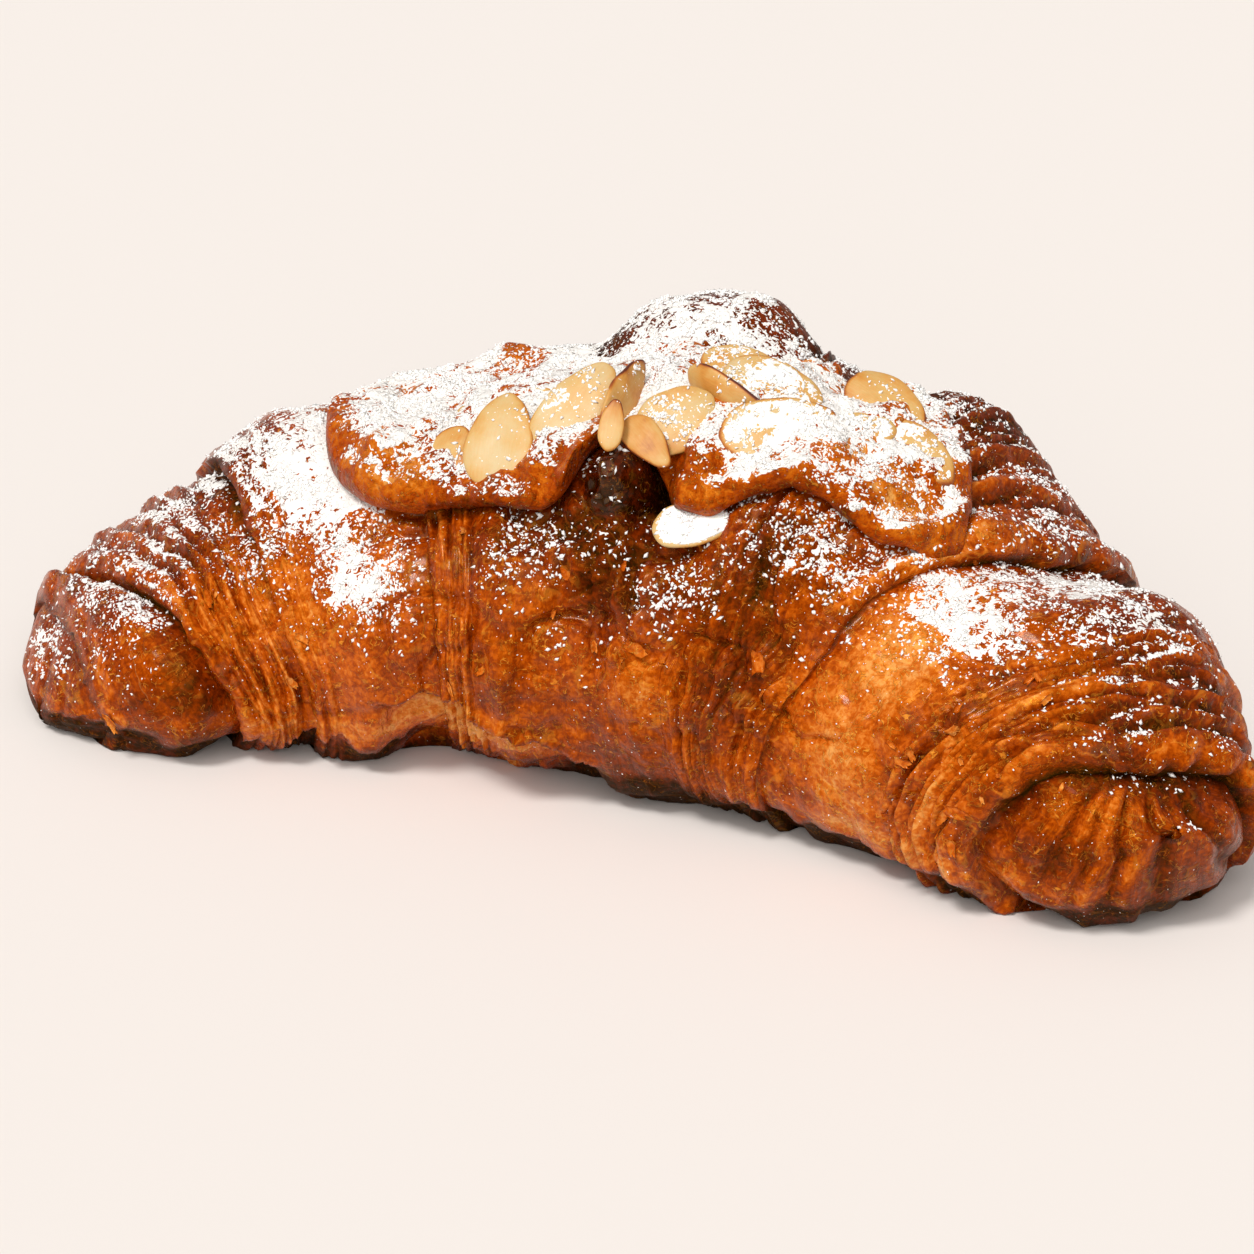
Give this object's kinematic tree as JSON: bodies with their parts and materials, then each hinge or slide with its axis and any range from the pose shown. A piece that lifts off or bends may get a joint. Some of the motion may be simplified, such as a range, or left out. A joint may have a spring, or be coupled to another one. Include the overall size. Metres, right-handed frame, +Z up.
{
  "type": "almond croissant",
  "caption": "Crescent of rolled, layered pastry with a baked sheet of almond cream over its top, flaked almonds in the cream and a dusting of icing sugar.",
  "frame": {"origin": "middle of the footprint's bounding box, on the plane that it rests on", "axes": "+X from the left horn to the right one, seen from the hollow side of the crescent; +Y to its bulging back; +Z up"},
  "size_m": [0.1858, 0.0912, 0.0603],
  "materials": {
    "crust": "baked crust, brushed with syrup, satin to glossy",
    "cream": "baked almond cream, slightly glossy",
    "almond": "dry, satin, dusted with sugar"
  },
  "bodies": {
    "root": {"croissant": "crust", "almond_cream": "cream", "flake_front_left": "almond", "flake_far_left": "almond", "flake_long_diagonal": "almond", "flake_on_edge": "almond", "flake_sliver": "almond", "flake_over_hollow": "almond", "flake_broad": "almond", "flake_behind": "almond", "flake_top_right": "almond", "flake_curved_edge": "almond", "flake_big_right": "almond", "flake_spotted": "almond", "flake_under_sugar": "almond", "flake_far_right": "almond", "flake_small_back": "almond", "flake_small_left": "almond", "flake_on_pastry": "almond"}
  },
  "joints": []
}
